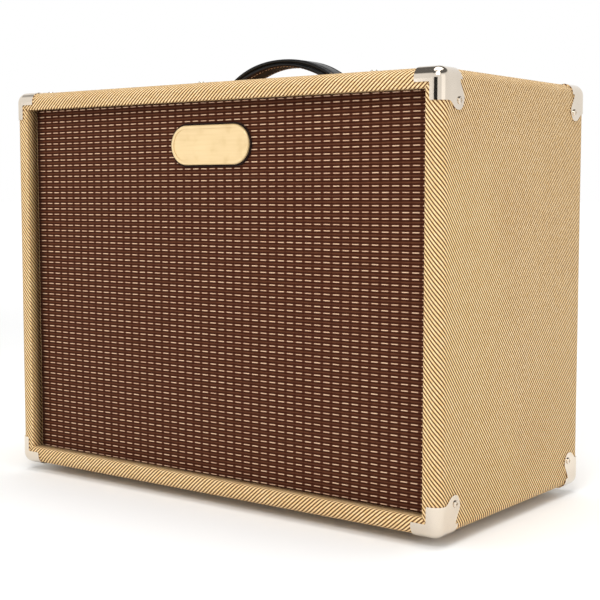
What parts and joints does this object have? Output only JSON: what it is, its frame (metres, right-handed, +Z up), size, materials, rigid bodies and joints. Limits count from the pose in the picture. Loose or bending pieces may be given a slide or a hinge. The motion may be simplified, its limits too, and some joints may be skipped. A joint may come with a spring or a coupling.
{
  "type": "guitar amplifier",
  "caption": "Tweed-covered valve combo guitar amplifier with a woven grille, metal corner protectors, a strap handle, a recessed top control panel and an open back.",
  "frame": {"origin": "on the floor under the middle of the cabinet", "axes": "+Z up, -Y out of the grille, +X to the right as seen from the front"},
  "size_m": [0.5644, 0.2886, 0.4615],
  "materials": {
    "pine": "planed, unfinished",
    "tweed": "lacquered diagonal twill",
    "plywood": "birch plywood, black stained front",
    "grille_cloth": "woven, dark red-brown with light dashes",
    "badge_metal": "cream-gold paint, satin",
    "badge_dark": "matt",
    "nickel": "polished nickel plate",
    "handle_leather": "black, lightly waxed",
    "rubber": "matt",
    "black_paint": "black, satin",
    "gasket": "pressed cork and card",
    "cone_paper": "pressed pulp",
    "coil_wire": "enamelled wire",
    "spider_cloth": "resin-dipped",
    "zinc_steel": "zinc plate",
    "ferrite": "sintered, matt",
    "fibre_board": "vulcanised fibre",
    "panel_chrome": "chrome plate, brushed",
    "capacitor_can": "sleeved can",
    "bakelite": "phenolic, polished",
    "valve_glass": "clear",
    "red_jewel": "faceted",
    "knob": "phenolic, polished",
    "shaft_metal": "turned"
  },
  "bodies": {
    "cabinet": {"badge_backing": "badge_dark", "badge_plate": "badge_metal", "baffle_board": "plywood", "bottom_board": "pine", "cabinet_cleats": "pine", "chassis_bolts": "nickel", "chassis_rear_plate": "zinc_steel", "chassis_tray": "zinc_steel", "circuit_board": "fibre_board", "cone_surround": "cone_paper", "control_panel": "panel_chrome", "corner_protectors": "nickel", "corner_screws": "nickel", "filter_capacitors": "capacitor_can", "foot_screws": "zinc_steel", "front_plate": "zinc_steel", "fuse_holder": "bakelite", "grille_cloth": "grille_cloth", "handle_end_caps": "nickel", "handle_screws": "nickel", "jack_sockets": "nickel", "left_board": "pine", "lower_rear_panel": "tweed", "magnet_ring": "ferrite", "mains_inlet": "bakelite", "output_transformer": "black_paint", "pilot_bezel": "nickel", "pilot_jewel": "red_jewel", "potentiometers": "zinc_steel", "power_transformer": "black_paint", "power_valve_bases": "bakelite", "power_valves": "valve_glass", "preamp_valves": "valve_glass", "rear_panel_screws": "nickel", "right_board": "pine", "rubber_feet": "rubber", "speaker_basket": "black_paint", "speaker_bolts": "zinc_steel", "speaker_gasket": "gasket", "spider": "spider_cloth", "terminal_strip": "fibre_board", "toggle_bodies": "nickel", "top_board": "pine", "tweed_cover": "tweed", "upper_rear_panel": "tweed", "valve_sockets": "bakelite", "yoke": "zinc_steel"},
    "handle": {"handle_strap": "handle_leather"},
    "cone": {"speaker_cone": "cone_paper", "dust_cap": "cone_paper", "voice_coil": "coil_wire"},
    "volume_control": {"volume_knob": "knob", "volume_shaft": "shaft_metal"},
    "treble_control": {"treble_knob": "knob", "treble_shaft": "shaft_metal"},
    "bass_control": {"bass_knob": "knob", "bass_shaft": "shaft_metal"},
    "standby_lever": {"standby_toggle": "nickel"},
    "power_lever": {"power_toggle": "nickel"},
    "fuse_carrier": {"fuse_cap": "bakelite"}
  },
  "joints": [
    {"name": "volume_turn", "type": "hinge", "parent": "cabinet", "child": "volume_control", "pos_m": [0.092, 0.079, 0.4112], "axis": [0, 0, -1], "range_deg": [-150, 150]},
    {"name": "treble_turn", "type": "hinge", "parent": "cabinet", "child": "treble_control", "pos_m": [0.042, 0.079, 0.4112], "axis": [0, 0, -1], "range_deg": [-150, 150]},
    {"name": "bass_turn", "type": "hinge", "parent": "cabinet", "child": "bass_control", "pos_m": [-0.008, 0.079, 0.4112], "axis": [0, 0, -1], "range_deg": [-150, 150]},
    {"name": "standby_flip", "type": "hinge", "parent": "cabinet", "child": "standby_lever", "pos_m": [-0.068, 0.079, 0.4117], "axis": [1, 0, 0], "range_deg": [0, 24]},
    {"name": "power_flip", "type": "hinge", "parent": "cabinet", "child": "power_lever", "pos_m": [-0.108, 0.079, 0.4117], "axis": [1, 0, 0], "range_deg": [0, 24]},
    {"name": "fuse_turn", "type": "hinge", "parent": "cabinet", "child": "fuse_carrier", "pos_m": [-0.165, 0.124, 0.37735], "axis": [0, 1, 0], "range_deg": [0, 60]},
    {"name": "cone_travel", "type": "slide", "parent": "cabinet", "child": "cone", "axis": [0, -1, 0], "range_m": [-0.004, 0.004], "stiffness_N_per_m": 2500, "deforming": ["cone_surround", "spider"]},
    {"name": "handle_lift", "type": "slide", "parent": "cabinet", "child": "handle", "axis": [0, 0, 1], "range_m": [0, 0.004]}
  ]
}
